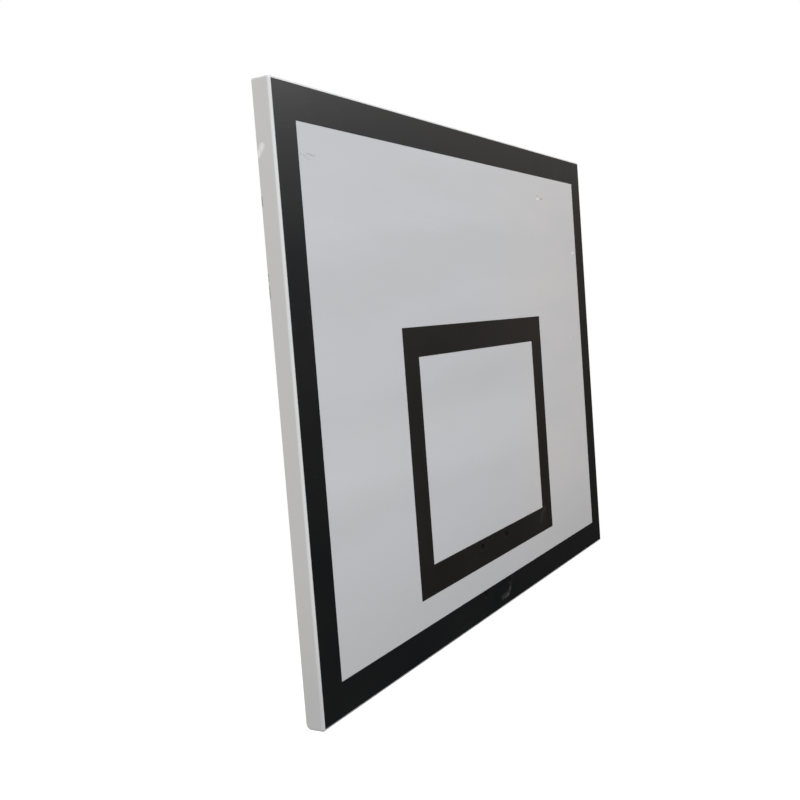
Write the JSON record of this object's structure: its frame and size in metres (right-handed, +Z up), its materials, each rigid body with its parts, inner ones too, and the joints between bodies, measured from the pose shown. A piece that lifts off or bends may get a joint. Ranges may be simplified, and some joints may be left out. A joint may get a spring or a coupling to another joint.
{
  "type": "basketball backboard",
  "caption": "Rectangular basketball backboard: folded steel face with black border and target lines, a tube frame behind it, ring bolt holes and brackets for a support.",
  "frame": {"origin": "middle of the four support holes, on the back of the brackets, level with the middle of the board", "axes": "+X to the right as the player sees the board, +Y from the face to the support, +Z up"},
  "size_m": [1.2, 0.0602, 0.9],
  "materials": {
    "white_powder_coat": "semi-gloss pale grey-white powder coat",
    "black_marking": "semi-gloss black film",
    "black_rubber": "matte black rubber strip",
    "galvanised_steel": "hot-dip galvanised",
    "zinc_plated_steel": "bright zinc plated"
  },
  "bodies": {
    "root": {"border_marking": "black_marking", "bottom_rail": "white_powder_coat", "bottom_rail_damper": "black_rubber", "bracket_bolts": "zinc_plated_steel", "bracket_washers": "zinc_plated_steel", "face_pan": "white_powder_coat", "left_brace": "white_powder_coat", "left_brace_damper": "black_rubber", "left_ring_strut": "white_powder_coat", "left_ring_strut_damper": "black_rubber", "left_stile": "white_powder_coat", "left_stile_damper": "black_rubber", "left_upright": "white_powder_coat", "left_upright_damper": "black_rubber", "lower_left_bracket": "galvanised_steel", "lower_left_gusset": "white_powder_coat", "lower_right_bracket": "galvanised_steel", "lower_right_gusset": "white_powder_coat", "middle_crossbar": "white_powder_coat", "middle_crossbar_damper": "black_rubber", "right_brace": "white_powder_coat", "right_brace_damper": "black_rubber", "right_ring_strut": "white_powder_coat", "right_ring_strut_damper": "black_rubber", "right_stile": "white_powder_coat", "right_stile_damper": "black_rubber", "right_upright": "white_powder_coat", "right_upright_damper": "black_rubber", "ring_backing_plate": "white_powder_coat", "ring_crossbar": "white_powder_coat", "ring_crossbar_damper": "black_rubber", "rivet_nuts": "zinc_plated_steel", "stud_nuts": "zinc_plated_steel", "stud_washers": "zinc_plated_steel", "target_marking": "black_marking", "top_rail": "white_powder_coat", "top_rail_damper": "black_rubber", "upper_left_bracket": "galvanised_steel", "upper_left_gusset": "white_powder_coat", "upper_right_bracket": "galvanised_steel", "upper_right_gusset": "white_powder_coat", "weld_studs": "zinc_plated_steel"}
  },
  "joints": []
}
